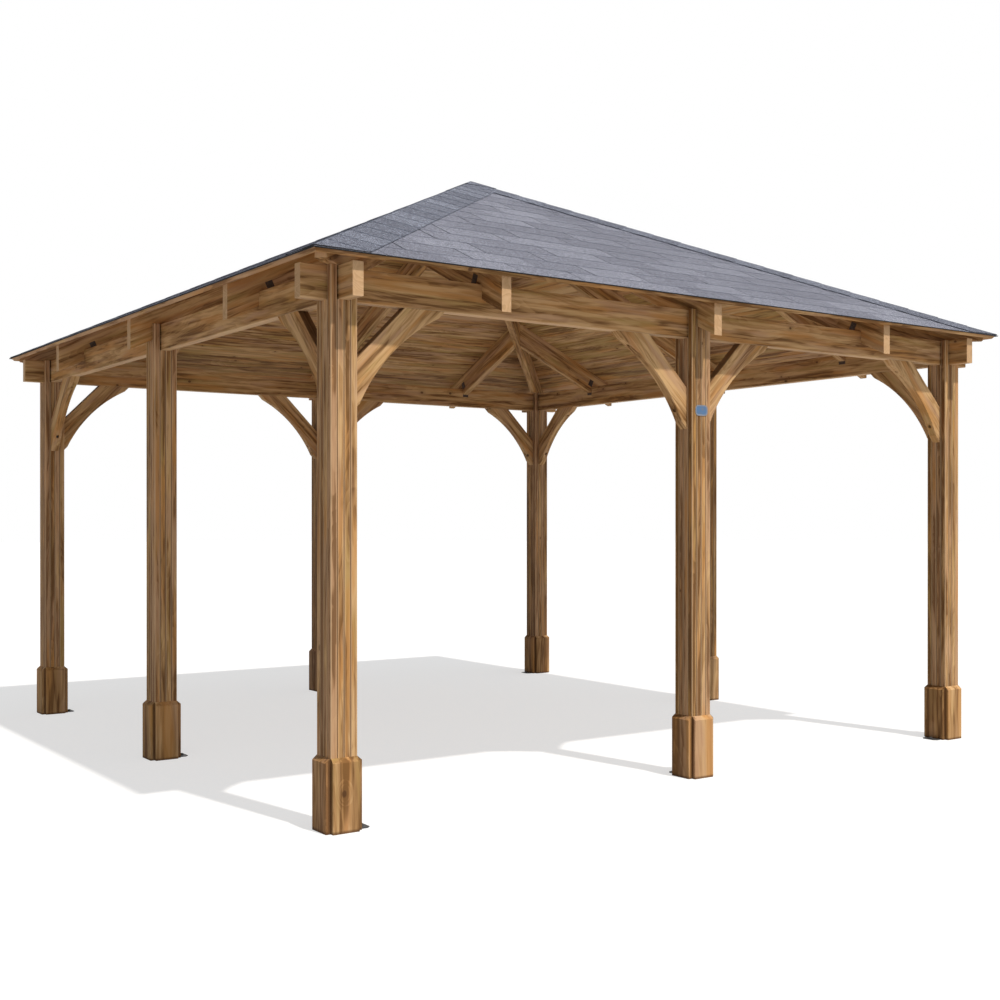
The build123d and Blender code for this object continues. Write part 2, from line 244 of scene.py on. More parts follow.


# Growth rings, streaks and knots: inputs are a place with X along the grain, a tone and a hue,
# and masks of end grain, of painted shade (grooves, corners, skirt feet, brace tops) and of painted
# highlights on arrises
def makeTimberGroup():
    group = bpy.data.node_groups.new("timberFigure", "ShaderNodeTree")
    group.interface.new_socket("Place", in_out="INPUT", socket_type="NodeSocketVector")
    for name in ("Tone", "Hue", "End", "Crevice", "Worn"):
        group.interface.new_socket(name, in_out="INPUT", socket_type="NodeSocketFloat")
    group.interface.new_socket("Colour", in_out="OUTPUT", socket_type="NodeSocketColor")
    for name in ("Roughness", "Height"):
        group.interface.new_socket(name, in_out="OUTPUT", socket_type="NodeSocketFloat")
    tree = group
    entry = tree.nodes.new("NodeGroupInput").outputs
    place = entry["Place"]
    split = put(tree, "SeparateXYZ", {0: place}).outputs
    across = calc(tree, "ADD", split["Y"], split["Z"])

    # knots: one point in each cell of the face, kept where the cell's number is high
    flat = joinVector(tree, calc(tree, "MULTIPLY", split["X"], 0.7), across, 0.0)
    feeds = {"Vector": flat, "Scale": 1 / timber["knotCell"], "Randomness": 1.0}
    knots = put(tree, "TexVoronoi", feeds, voronoi_dimensions="2D")
    chance = put(tree, "SeparateColor", {0: knots.outputs["Color"]}).outputs
    kept = spread(tree, chance[0], timber["knotsKept"], timber["knotsKept"] + 0.02)
    size = spread(tree, chance[1], 0.0, 1.0, *timber["knotSize"], smooth=False)
    reach = calc(tree, "DIVIDE", knots.outputs["Distance"], size)
    core = calc(tree, "MULTIPLY", spread(tree, reach, 0.6, 1.25, 1.0, 0.0), kept)
    halo = calc(tree, "MULTIPLY", spread(tree, reach, 0.8, 4.2, 1.0, 0.0), kept)

    # growth rings run along the board, bent into flames by slow noise and round the knots
    bend = noise(tree, stretched(tree, place, 1.5, 8.0), 1.0, 2.0, 0.45)
    phase = calc(tree, "MULTIPLY_ADD", bend, timber["ringBend"], calc(tree, "MULTIPLY", across, 0.3))
    phase = calc(tree, "MULTIPLY_ADD", halo, 0.022, phase)
    rings = calc(tree, "FRACT", calc(tree, "DIVIDE", phase, timber["ringWidth"]))
    rings = calc(tree, "MULTIPLY", rings, spread(tree, rings, 0.84, 1.0, 1.0, 0.0))
    fibre = noise(tree, stretched(tree, place, *timber["fibre"]), 1.0, 2.0, 0.6)
    streak = noise(tree, stretched(tree, place, *timber["streak"]), 1.0, 3.0, 0.62)
    broad = noise(tree, stretched(tree, place, *timber["broad"]), 1.0, 2.0, 0.6, 0.5)
    patch = noise(tree, stretched(tree, place, *timber["patch"]), 1.0, 2.0, 0.5)
    warm = noise(tree, shifted(tree, stretched(tree, place, *timber["warm"]), (5, 9, 3)), 1.0, 2.0, 0.5)

    # the amount goes from dark to light wood, and the hue from pink to olive
    amount = calc(tree, "MULTIPLY", spread(tree, streak, 0.38, 0.62), 0.7)
    amount = calc(tree, "MULTIPLY_ADD", spread(tree, broad, 0.38, 0.62), 0.8, amount)
    amount = calc(tree, "ADD", amount, calc(tree, "SUBTRACT", entry["Tone"], 0.68))
    amount = calc(tree, "MULTIPLY_ADD", rings, -0.34, amount)
    amount = calc(tree, "MULTIPLY_ADD", calc(tree, "SUBTRACT", fibre, 0.5), 0.35, amount)
    low = blendColour(tree, spread(tree, amount, -0.30, 0.42), timber["dark"], timber["middle"])
    wood = blendColour(tree, spread(tree, amount, 0.36, 1.05), low, timber["light"])
    hue = calc(tree, "MULTIPLY_ADD", calc(tree, "SUBTRACT", patch, 0.5), 2.6, entry["Hue"])
    fire = calc(tree, "MULTIPLY", spread(tree, warm, 0.49, 0.66), 0.6)
    olive = calc(tree, "MULTIPLY", spread(tree, hue, 0.5, 1.1), 0.65)
    pink = calc(tree, "MULTIPLY", spread(tree, hue, 0.36, -0.05), 0.6)
    for part, tint in ((olive, "olive"), (pink, "pink"), (fire, "orange")):
        level = calc(tree, "MULTIPLY", part, spread(tree, amount, -0.3, 0.5, 0.25, 1.0))
        wood = blendColour(tree, level, wood, timber[tint])
    wood = blendColour(tree, calc(tree, "MULTIPLY", halo, 0.28), wood, timber["dark"])
    wood = blendColour(tree, calc(tree, "MULTIPLY", core, 0.8), wood, timber["knot"])

    # end grain is paler, with the rings showing as arcs; painted shade darkens grooves and corners, and
    # painted highlights make arrises paler
    endWood = blendColour(tree, calc(tree, "MULTIPLY", rings, 0.5), timber["endGrain"], timber["middle"])
    wood = blendColour(tree, calc(tree, "MULTIPLY", entry["End"], 0.85), wood, endWood)
    wood = blendColour(tree, calc(tree, "MULTIPLY", entry["Worn"], 0.55), wood, timber["worn"])
    wood = blendColour(tree, calc(tree, "MULTIPLY", entry["Crevice"], 0.9), wood, timber["groove"])
    shine = calc(tree, "MULTIPLY_ADD", fibre, 0.2, 0.6)
    relief = calc(tree, "SUBTRACT", calc(tree, "MULTIPLY", fibre, 0.6), calc(tree, "MULTIPLY", rings, 0.4))
    relief = calc(tree, "MULTIPLY_ADD", core, -0.5, relief)
    leave = tree.nodes.new("NodeGroupOutput")
    for name, socket in (("Colour", wood), ("Roughness", shine), ("Height", relief)):
        tree.links.new(socket, leave.inputs[name])
    return group


def newFinish(name, colour):
    finish = bpy.data.materials.new(name)
    finish.use_nodes = True
    finish.diffuse_color = (*colour, 1)
    tree = finish.node_tree
    tree.nodes.clear()
    return finish, tree


def timberFinish(name, locate, tone=0.5, hue=0.3):
    finish, tree = newFinish(name, timber["middle"])
    spot = locate(tree)
    figure = put(tree, "Group")
    figure.node_tree = timberGroup
    plain = {"Tone": tone, "Hue": hue, "End": 0.0, "Crevice": 0.0, "Worn": 0.0}
    for key, value in {**plain, **spot}.items():
        if isinstance(value, bpy.types.NodeSocket):
            tree.links.new(value, figure.inputs[key])
        else:
            figure.inputs[key].default_value = value
    relief = {"Height": figure.outputs["Height"], "Strength": 0.5, "Distance": timber["fibreDepth"]}
    bump = put(tree, "Bump", relief)
    feeds = {
        "Base Color": figure.outputs["Colour"],
        "Roughness": figure.outputs["Roughness"],
        "Normal": bump.outputs[0],
        "Specular IOR Level": timber["gloss"],
    }
    shader = put(tree, "BsdfPrincipled", feeds)
    put(tree, "OutputMaterial", {0: shader.outputs[0]})
    return finish


# Places on the pieces: each locate function gives a finish its place in the grain and its masks
def objectPlace(tree):
    return put(tree, "SeparateXYZ", {0: put(tree, "TexCoord").outputs["Object"]}).outputs


# a mask of the faces that look along an axis, either way
def facing(tree, axis):
    normal = put(tree, "NewGeometry").outputs["Normal"]
    dot = put(tree, "VectorMath", {0: normal, 1: axis}, operation="DOT_PRODUCT").outputs["Value"]
    return spread(tree, calc(tree, "ABSOLUTE", dot), 0.80, 0.90)


# distance from the middle of the nearest post along one axis, and that post's number
def toPost(tree, value):
    number = calc(tree, "ROUND", calc(tree, "DIVIDE", value, postPitch))
    return calc(tree, "SUBTRACT", value, calc(tree, "MULTIPLY", number, postPitch)), number


# a random colour for each strip or board, from its post's place and its own place in the post
def drawLot(tree, post, piece, spacing, draw):
    column = calc(tree, "MULTIPLY_ADD", post[0], spacing, piece[0])
    row = calc(tree, "MULTIPLY_ADD", post[1], spacing, piece[1])
    number = joinVector(tree, column, row, draw)
    return put(tree, "TexWhiteNoise", {"Vector": number}, noise_dimensions="3D").outputs["Color"]


# Post strips: each has its own tone and hue, is darkened as painted shade in the V grooves and on the faces
# that look left or right, and is paler as a painted highlight beside the V grooves
strips = {
    "tones": (-0.06, 0.74),
    "hues": (-0.35, 0.72),
    "sideTone": -0.14,
    "groove": (0.0026, 0.0004),
    "wornBand": (0.0050, 0.0040),
    "inside": 0.995,
    "spread": 9.0,
}


# painted highlight: a narrow band on both sides of each glue line, made paler where the arris would catch
# the light
def nearJoint(tree, value):
    part = calc(tree, "FRACT", calc(tree, "DIVIDE", value, stripWidth))
    part = absolute(tree, calc(tree, "SUBTRACT", part, 0.5))
    outer, inner = strips["wornBand"]
    return spread(tree, part, 0.5 - outer / stripWidth, 0.5 - inner / stripWidth)


def locateStrip(tree):
    spot = objectPlace(tree)
    x, postX = toPost(tree, spot["X"])
    y, postY = toPost(tree, spot["Y"])
    perStrip = strips["inside"] / stripWidth
    piece = [calc(tree, "FLOOR", calc(tree, "MULTIPLY", value, perStrip)) for value in (x, y)]
    lot = drawLot(tree, (postX, postY), piece, 11.0, 3.0)
    each = put(tree, "SeparateColor", {0: lot}).outputs
    # the V grooves lie inside the outer square of the post; their faces are darkened there as painted shade
    outside = calc(tree, "MAXIMUM", absolute(tree, x), absolute(tree, y))
    deep, shallow = strips["groove"]
    grooveShade = spread(tree, outside, postHalf - deep, postHalf - shallow, 1.0, 0.0)
    # sideways marks the faces that look left or right; there the tone is made darker as painted shade
    sideways = calc(tree, "GREATER_THAN", absolute(tree, x), absolute(tree, y))
    alongX = calc(tree, "MULTIPLY", x, calc(tree, "SUBTRACT", 1.0, sideways))
    tone = spread(tree, each[0], 0.0, 1.0, *strips["tones"], smooth=False)
    return {
        "Place": shifted(tree, joinVector(tree, spot["Z"], x, y), scaled(tree, lot, strips["spread"])),
        "Tone": calc(tree, "MULTIPLY_ADD", sideways, strips["sideTone"], tone),
        "Hue": spread(tree, each[1], 0.0, 1.0, *strips["hues"], smooth=False),
        "Crevice": grooveShade,
        "Worn": nearJoint(tree, calc(tree, "MULTIPLY_ADD", y, sideways, alongX)),
        "End": facing(tree, (0, 0, 1)),
    }


# Skirt boards: sawn flatter than the strips, so their figure is wider; darkened as painted shade along the
# ground, in the open corners at the posts and on the faces that look left or right
skirts = {
    "tones": (0.48, 0.70),
    "hues": (0.1, 0.6),
    "sideTone": -0.32,
    "figure": 0.62,
    "notch": (0.0015, 0.0005),
    "notchDepth": (0.006, 0.014),
    "notchDark": 0.8,
    "damp": (0.004, 0.015),
    "dampDark": 0.85,
    "spread": 6.0,
}


def locateSkirt(tree):
    spot = objectPlace(tree)
    x, postX = toPost(tree, spot["X"])
    y, postY = toPost(tree, spot["Y"])
    sizes = absolute(tree, x), absolute(tree, y)
    sideways = calc(tree, "GREATER_THAN", *sizes)
    other = calc(tree, "SUBTRACT", 1.0, sideways)
    boardX = calc(tree, "MULTIPLY", calc(tree, "SIGN", x), sideways)
    boardY = calc(tree, "MULTIPLY", calc(tree, "SIGN", y), other)
    lot = drawLot(tree, (postX, postY), (boardX, boardY), 7.0, 1.0)
    each = put(tree, "SeparateColor", {0: lot}).outputs
    across = calc(tree, "MULTIPLY_ADD", y, sideways, calc(tree, "MULTIPLY", x, other))
    depth = calc(tree, "MULTIPLY_ADD", y, other, calc(tree, "MULTIPLY", x, sideways))
    figure = scaled(tree, joinVector(tree, spot["Z"], across, depth), skirts["figure"])
    # painted shade: the open corner between two boards is darkened towards the post, where shade falls
    low, high = skirts["notch"]
    inNotch = spread(tree, calc(tree, "MINIMUM", *sizes), postHalf - low, postHalf - high)
    low, high = skirts["notchDepth"]
    deep = spread(tree, calc(tree, "MAXIMUM", *sizes), postHalf + low, postHalf + high, 1.0, 0.0)
    notch = calc(tree, "MULTIPLY", calc(tree, "MULTIPLY", inNotch, deep), skirts["notchDark"])
    # painted shade: the boards darken along the ground, where shade falls at their foot
    damp = spread(tree, spot["Z"], *skirts["damp"], skirts["dampDark"], 0.0)
    tone = spread(tree, each[0], 0.0, 1.0, *skirts["tones"], smooth=False)
    return {
        "Place": shifted(tree, figure, scaled(tree, lot, skirts["spread"])),
        # painted shade: boards that look left or right get a darker tone
        "Tone": calc(tree, "MULTIPLY_ADD", sideways, skirts["sideTone"], tone),
        "Hue": spread(tree, each[1], 0.0, 1.0, *skirts["hues"], smooth=False),
        "Crevice": calc(tree, "MAXIMUM", notch, damp),
    }


# Frame timbers: tone and hue, and the painted shade on the braces' upper faces
frameTimber = {
    "beam": (0.58, 0.45),
    "rafter": (0.5, 0.4),
    "jack": (0.5, 0.4),
    "hip": (0.56, 0.4),
    "brace": (0.66, 0.4),
    "king": (0.4, 0.4),
    "braceDirt": 0.85,
}


# a straight timber along one axis, with a painted highlight along the beams' lower edge
def locateStraight(axis, shift):
    def locate(tree):
        spot = objectPlace(tree)
        order = {"X": ("X", "Z", "Y"), "Y": ("Y", "Z", "X"), "Z": ("Z", "X", "Y")}[axis]
        place = shifted(tree, joinVector(tree, *[spot[name] for name in order]), shift)
        end = {"X": (1, 0, 0), "Y": (0, 1, 0), "Z": (0, 0, 1)}[axis]
        lower = calc(tree, "SUBTRACT", spot["Z"], beamUnder)
        worn = spread(tree, absolute(tree, lower), 0.001, 0.005, 0.8, 0.0)
        return {"Place": place, "End": facing(tree, end), "Worn": worn}
    return locate


# a leaning timber: its place along the slope, and the distances out of the middle and sideways
def slantedPlace(tree, outX, outY, slope, shift):
    spot = objectPlace(tree)
    level = spot["Z"]
    out = calc(tree, "ADD", calc(tree, "MULTIPLY", spot["X"], outX),
               calc(tree, "MULTIPLY", spot["Y"], outY))
    side = calc(tree, "ADD", calc(tree, "MULTIPLY", spot["X"], -outY),
                calc(tree, "MULTIPLY", spot["Y"], outX))
    down = calc(tree, "SUBTRACT", calc(tree, "MULTIPLY", out, math.cos(slope)),
                calc(tree, "MULTIPLY", level, math.sin(slope)))
    rise = calc(tree, "ADD", calc(tree, "MULTIPLY", out, math.sin(slope)),
                calc(tree, "MULTIPLY", level, math.cos(slope)))
    place = shifted(tree, joinVector(tree, down, rise, side), shift)
    return {"Place": place, "End": facing(tree, (outX, outY, 0))}


def locateRafter(turn, shift):
    def locate(tree):
        angle = math.radians(turn)
        return slantedPlace(tree, round(math.sin(angle)), -round(math.cos(angle)), roof["slope"], shift)
    return locate


def locateHip(turn, shift):
    def locate(tree):
        angle = math.radians(turn - 45)
        slope = math.atan(math.tan(roof["slope"]) / math.sqrt(2))
        return slantedPlace(tree, math.sin(angle), -math.cos(angle), slope, shift)
    return locate


# a brace leans at 45 degrees, so its grain runs along the sum of height and distance from the post
def locateBrace(shift):
    def locate(tree):
        spot = objectPlace(tree)
        x = toPost(tree, spot["X"])[0]
        y = toPost(tree, spot["Y"])[0]
        sideX, sideY = absolute(tree, x), absolute(tree, y)
        out = calc(tree, "MAXIMUM", sideX, sideY)
        other = calc(tree, "MULTIPLY", calc(tree, "GREATER_THAN", sideX, sideY), 3.0)
        depth = calc(tree, "ADD", calc(tree, "MINIMUM", sideX, sideY), other)
        half = math.sqrt(0.5)
        along = calc(tree, "MULTIPLY", calc(tree, "ADD", out, spot["Z"]), half)
        across = calc(tree, "MULTIPLY", calc(tree, "SUBTRACT", out, spot["Z"]), half)
        hand = calc(tree, "MULTIPLY", calc(tree, "SIGN", x), 2.0)
        place = shifted(tree, joinVector(tree, calc(tree, "ADD", along, hand), across, depth), shift)
        # painted shade: the face turned up to the corner of post and beam is darkened, where shade falls
        upward = put(tree, "SeparateXYZ", {0: put(tree, "NewGeometry").outputs["Normal"]}).outputs["Z"]
        return {"Place": place, "Crevice": spread(tree, upward, 0.4, 0.6, 0.0, frameTimber["braceDirt"])}
    return locate


def anyShift():
    return tuple(seeds.uniform(-6, 6) for _ in range(3))


def anyTone(reach):
    return seeds.uniform(-reach, reach)


def dress(node, finish):
    mesh = nodes[node].data
    mesh.materials.clear()
    mesh.materials.append(finish)


def dressFrame(nodeStart, kind, name, locate):
    dress(nodeStart + name, timberFinish(kind + "Timber_" + name, locate, *frameTimber[kind]))


def dressTimber():
    posts = timberFinish("postTimber", locateStrip)
    skirtBoards = timberFinish("skirtTimber", locateSkirt)
    for name in nodes:
        if name.startswith("post_"):
            dress(name, posts)
        elif name.startswith("skirt_"):
            dress(name, skirtBoards)
    for name, turn in sides.items():
        axis = "X" if name in ("front", "back") else "Y"
        dressFrame("beam_", "beam", name, locateStraight(axis, anyShift()))
        dressFrame("rafter_", "rafter", name, locateRafter(turn, anyShift()))
        dressFrame("jack_rafters_", "jack", name, locateRafter(turn, anyShift()))
    for name, turn in corners.items():
        dressFrame("hip_rafter_", "hip", name, locateHip(turn, anyShift()))
        dressFrame("braces_", "brace", name, locateBrace(anyShift()))
    for name in ("front_middle", "back_middle"):
        dressFrame("braces_", "brace", name, locateBrace(anyShift()))
    dress("king_block", timberFinish("kingTimber", locateStraight("Z", anyShift()), *frameTimber["king"]))


# Modelling helpers
def alone(piece):
    bpy.ops.object.select_all(action="DESELECT")
    piece.select_set(True)
    bpy.context.view_layer.objects.active = piece


def startBlock(name, size, place):
    bpy.ops.object.select_all(action="DESELECT")
    bpy.ops.mesh.primitive_cube_add(size=1, location=place)
    block = bpy.context.object
    block.name = name
    block.scale = size
    bpy.ops.object.transform_apply(location=True, rotation=True, scale=True)
    return block


def pickEdges(block, wanted):
    bpy.ops.mesh.select_all(action="DESELECT")
    shape = bmesh.from_edit_mesh(block.data)
    for edge in shape.edges:
        if wanted(edge.verts[0].co, edge.verts[1].co):
            edge.select_set(True)
    bmesh.update_edit_mesh(block.data)


def pickFaces(block, wanted):
    bpy.ops.mesh.select_all(action="DESELECT")
    shape = bmesh.from_edit_mesh(block.data)
    for face in shape.faces:
        if wanted(face):
            face.select_set(True)
    bmesh.update_edit_mesh(block.data)


def copyTo(piece, matrix):
    twin = piece.copy()
    twin.data = piece.data.copy()
    twin.data.transform(matrix)
    bpy.context.scene.collection.objects.link(twin)
    return twin


def joined(pieces, name):
    bpy.ops.object.select_all(action="DESELECT")
    for piece in pieces:
        piece.select_set(True)
    bpy.context.view_layer.objects.active = pieces[0]
    bpy.ops.object.join()
    whole = bpy.context.object
    whole.name = name
    whole.data.name = name
    return whole


# the slope's own frame: x along the eaves, y up the slope to 0 at the peak, z out of it
def slopeMatrix(turn, peak):
    lean = Matrix.Translation((0, 0, peak)) @ Matrix.Rotation(roof["slope"], 4, "X")
    return Matrix.Rotation(math.radians(turn), 4, "Z") @ lean


# cuts a slope's piece along both hips, and along the eaves where a reach is given
def cutAtHips(piece, turn, gap, reach=None):
    alone(piece)
    bpy.ops.object.mode_set(mode="EDIT")
    cuts = [(Vector((hand, 1, 0)).normalized(), -gap) for hand in (-1, 1)]
    if reach:
        cuts.append((Vector((0, -1, 0)), reach))
    for outwards, distance in cuts:
        outwards = Matrix.Rotation(math.radians(turn), 3, "Z") @ outwards
        bpy.ops.mesh.select_all(action="SELECT")
        bpy.ops.mesh.bisect(plane_co=outwards * distance, plane_no=outwards, use_fill=True, clear_outer=True)
    bpy.ops.object.mode_set(mode="OBJECT")


def setEach(piece, name, kind, value):
    layer = piece.data.attributes.new(name, kind, "POINT")
    for item, vertex in zip(layer.data, piece.data.vertices):
        if kind == "FLOAT":
            item.value = value
        else:
            item.vector = vertex.co + Vector(value)


def finishPiece(piece, finish, slot, *replaced):
    piece.data.materials.clear()
    piece.data.materials.append(finish)
    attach(piece, "root")
    if replaced:
        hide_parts(*replaced)


# Roof boards, seen from below: laid along the eaves, with a V at each joint
boards = {
    "cover": 0.1246,
    "firstJoint": 0.101,
    "arris": 0.003,
    "gap": 0.0006,
    "eavesArris": 0.0105,
    "spare": 0.1,
    "hipGap": 0.0003,
    "tones": (0.30, 0.80),
    "hues": (-0.1, 0.9),
}


def locateBoard(tree):
    place = put(tree, "Attribute", attribute_name="grainPlace").outputs["Vector"]
    tone = put(tree, "Attribute", attribute_name="boardTone").outputs["Fac"]
    hue = put(tree, "Attribute", attribute_name="boardHue").outputs["Fac"]
    return {"Place": place, "Tone": tone, "Hue": hue}


def addRoofBoards():
    finish = timberFinish("roofBoardTimber", locateBoard)
    joints = [0.0]
    while joints[-1] < roof["boardEdge"] - 0.02:
        joints.append(min(boards["firstJoint"] + boards["cover"] * (len(joints) - 1), roof["boardEdge"]))
    for side, turn in sides.items():
        planks = []
        for upper, lower in zip(joints, joints[1:]):
            length = 2 * lower * math.cos(roof["slope"]) + boards["spare"]
            size = (length, lower - upper - boards["gap"], roof["boardThickness"])
            plank = startBlock("plank", size, (0, 0, 0))
            bpy.ops.object.mode_set(mode="EDIT")
            pickEdges(plank, lambda a, b: a.z < 0 and b.z < 0 and abs(a.y - b.y) < 1e-6)
            bpy.ops.mesh.bevel(offset=boards["arris"], segments=1, affect="EDGES")
            if lower == joints[-1]:
                lowest = min(vertex.co.y for vertex in plank.data.vertices)
                pickEdges(plank, lambda a, b: max(a.y, b.y) < lowest + 0.0001 and max(a.z, b.z) < 0)
                bpy.ops.mesh.bevel(offset=boards["eavesArris"], segments=1, affect="EDGES")
            bpy.ops.object.mode_set(mode="OBJECT")
            setEach(plank, "grainPlace", "FLOAT_VECTOR", anyShift())
            setEach(plank, "boardTone", "FLOAT", seeds.uniform(*boards["tones"]))
            setEach(plank, "boardHue", "FLOAT", seeds.uniform(*boards["hues"]))
            middle = Vector((0, -(upper + lower) / 2, -roof["boardThickness"] / 2))
            plank.data.transform(slopeMatrix(turn, roof["deckPeak"]) @ Matrix.Translation(middle))
            planks.append(plank)
        deck = joined(planks, "roofBoards_" + side)
        cutAtHips(deck, turn, boards["hipGap"])
        finishPiece(deck, finish, "timber", "roof_boards_" + side)


# Bitumen shingles: courses of three-tab strips over an underlay, seen from above
shingles = {
    "eaves": 2.2085,
    "secondCourse": 2.067,
    "exposure": 0.1514,
    "lap": 0.009,
    "strip": 0.932,
    "tabs": ((-0.3124, 0.3066), (0.0, 0.3032), (0.3124, 0.3066)),
    "starts": (0.0035, -0.464),
    "thickness": 0.002,
    "lift": 0.002,
    "curl": 0.0004,
    "underlay": 0.001,
    "starter": 0.11,
    "starterWidth": 0.9315,
    "seat": 0.0001,
    "tones": 0.09,
    "granule": 0.0017,
    "blotch": 0.011,
    "colours": ((0.05, 0.054, 0.072), (0.205, 0.21, 0.262), (0.48, 0.50, 0.58)),
    "capColours": ((0.03, 0.034, 0.05), (0.135, 0.143, 0.185), (0.46, 0.50, 0.60)),
    "bitumen": (0.018, 0.017, 0.017),
}
hipCaps = {
    "exposure": 0.158,
    "half": 0.168,
    "first": 2.974,
    "base": 0.0060,
    "pastHip": 0.03,
    "pastEaves": 0.001,
    "tones": 0.08,
    "peakReach": 0.105,
    "peakFlat": 0.008,
}


def shingleFinish(name, colours, contrast):
    finish, tree = newFinish(name, colours[1])
    spot = put(tree, "TexCoord").outputs["Object"]
    cells = put(tree, "TexVoronoi", {"Vector": spot, "Scale": 1 / shingles["granule"]})
    grain = put(tree, "SeparateColor", {0: cells.outputs["Color"]}).outputs[0]
    blotch = noise(tree, spot, 1 / shingles["blotch"], 3.0, 0.7)
    cloud = noise(tree, spot, 2.2, 2.0, 0.5)
    tone = put(tree, "Attribute", attribute_name="tabTone").outputs["Fac"]
    level = calc(tree, "MULTIPLY_ADD", calc(tree, "SUBTRACT", blotch, 0.5), contrast, grain)
    level = calc(tree, "MULTIPLY_ADD", calc(tree, "SUBTRACT", cloud, 0.5), 0.25, level)
    level = calc(tree, "ADD", level, tone)
    body = blendColour(tree, spread(tree, level, 0.05, 0.55), colours[0], colours[1])
    body = blendColour(tree, spread(tree, level, 0.7, 1.15), body, colours[2])
    up = put(tree, "SeparateXYZ", {0: put(tree, "NewGeometry").outputs["Normal"]}).outputs["Z"]
    top = spread(tree, up, 0.76, 0.82)
    place = put(tree, "SeparateXYZ", {0: spot}).outputs
    out = calc(tree, "MAXIMUM", calc(tree, "ABSOLUTE", place["X"]), calc(tree, "ABSOLUTE", place["Y"]))
    eaves = spread(tree, out, roof["reach"] - 0.009, roof["reach"] - 0.005)
    # painted light: the tabs' side faces are lightened towards the pale granule colour, so that their own
    # shading leaves them only a little darker than the tops
    side = blendColour(tree, 0.45, body, colours[2])
    side = blendColour(tree, eaves, side, shingles["bitumen"])
    feeds = {
        "Base Color": blendColour(tree, top, side, body),
        "Roughness": calc(tree, "MULTIPLY_ADD", grain, 0.15, 0.78),
        "Normal": put(tree, "Bump", {"Height": grain, "Strength": 0.6, "Distance": 0.0007}).outputs[0],
        "Specular IOR Level": 0.25,
    }
    shader = put(tree, "BsdfPrincipled", feeds)
    put(tree, "OutputMaterial", {0: shader.outputs[0]})
    return finish


# the underlay is black bitumen; where it shows through the slits between tabs, its black also stands as
# painted shade for the shade down in the slits
def underlayFinish():
    finish, tree = newFinish("bitumenUnderlay", shingles["bitumen"])
    spot = put(tree, "TexCoord").outputs["Object"]
    grit = noise(tree, spot, 900.0, 2.0, 0.6)
    feeds = {
        "Base Color": blendColour(tree, grit, shingles["bitumen"], (0.045, 0.044, 0.046)),
        "Roughness": calc(tree, "MULTIPLY_ADD", grit, 0.2, 0.7),
        "Normal": put(tree, "Bump", {"Height": grit, "Strength": 0.4, "Distance": 0.0004}).outputs[0],
    }
    shader = put(tree, "BsdfPrincipled", feeds)
    put(tree, "OutputMaterial", {0: shader.outputs[0]})
    return finish


# one tab: its lower edge at y = 0, its upper end tucked under the next course
def startTab(name, length):
    tab = startBlock(name, (1, length, shingles["thickness"]), (0, length / 2, shingles["thickness"] / 2))
    bpy.ops.object.mode_set(mode="EDIT")
    pickEdges(tab, lambda a, b: abs(a.x - b.x) > 0.5)
    bpy.ops.mesh.subdivide(number_cuts=3)
    bpy.ops.object.mode_set(mode="OBJECT")
    return tab


def layTab(model, matrix, width, tone):
    tab = copyTo(model, Matrix.Diagonal((width, 1, 1, 1)))
    length = max(vertex.co.y for vertex in tab.data.vertices)
    bow = [seeds.uniform(0, shingles["curl"]) for _ in range(5)]
    for vertex in tab.data.vertices:
        free = 1 - vertex.co.y / length
        bit = bow[round((vertex.co.x / width + 0.5) * 4)]
        vertex.co.z += free * (shingles["lift"] + bit)
    setEach(tab, "tabTone", "FLOAT", tone)
    tab.data.transform(matrix)
    return tab


def addUnderlay():
    lift = shingles["underlay"] / math.cos(roof["slope"])
    reach = roof["reach"]
    bpy.ops.object.select_all(action="DESELECT")
    depth = reach * math.tan(roof["slope"])
    middle = (0, 0, roof["deckPeak"] + lift - depth / 2)
    bpy.ops.mesh.primitive_cone_add(vertices=4, radius1=reach * math.sqrt(2), depth=depth,
                                    end_fill_type="NOTHING", location=middle, rotation=(0, 0, math.pi / 4))
    sheet = bpy.context.object
    sheet.name = "roofUnderlay"
    bpy.ops.object.transform_apply(location=True, rotation=True, scale=True)
    thicken = sheet.modifiers.new("thickness", "SOLIDIFY")
    thicken.thickness = shingles["underlay"] * 0.9
    thicken.offset = -1
    thicken.use_even_offset = True
    bpy.ops.object.modifier_apply(modifier="thickness")
    finishPiece(sheet, underlayFinish(), "roof_felt")


def courseEdges():
    edges = [shingles["eaves"], shingles["secondCourse"]]
    while edges[-1] > shingles["exposure"] + 0.02:
        edges.append(edges[-1] - shingles["exposure"])
    return edges


def addShingles():
    finish = shingleFinish("slateGranules", shingles["colours"], 1.1)
    edges = courseEdges()
    model = startTab("tabModel", shingles["exposure"] + shingles["lap"])
    starter = startTab("starterModel", shingles["starter"])
    base = shingles["underlay"] + shingles["seat"]
    narrow = Matrix.Diagonal((shingles["starterWidth"], 1, 1, 1))
    for side, turn in sides.items():
        slope = slopeMatrix(turn, roof["deckPeak"])
        tabs = []
        for number in range(5):
            place = Vector(((number - 2) * shingles["strip"], -shingles["eaves"], base))
            strip = copyTo(starter, slope @ Matrix.Translation(place) @ narrow)
            setEach(strip, "tabTone", "FLOAT", 0.0)
            tabs.append(strip)
        for course, lower in enumerate(edges):
            half = lower * math.cos(roof["slope"])
            start = shingles["starts"][course % 2]
            for strip in range(-3, 4):
                for offset, width in shingles["tabs"]:
                    middle = start + strip * shingles["strip"] + offset
                    if abs(middle) - width / 2 > half:
                        continue
                    matrix = slope @ Matrix.Translation((middle, -lower, base))
                    tabs.append(layTab(model, matrix, width, anyTone(shingles["tones"])))
        cover = joined(tabs, "shingles_" + side)
        cutAtHips(cover, turn, 0.0)
        replaced = ["roof_felt"] if side == "front" else []
        finishPiece(cover, finish, "roof_felt", *replaced)
    bpy.data.objects.remove(model)
    bpy.data.objects.remove(starter)


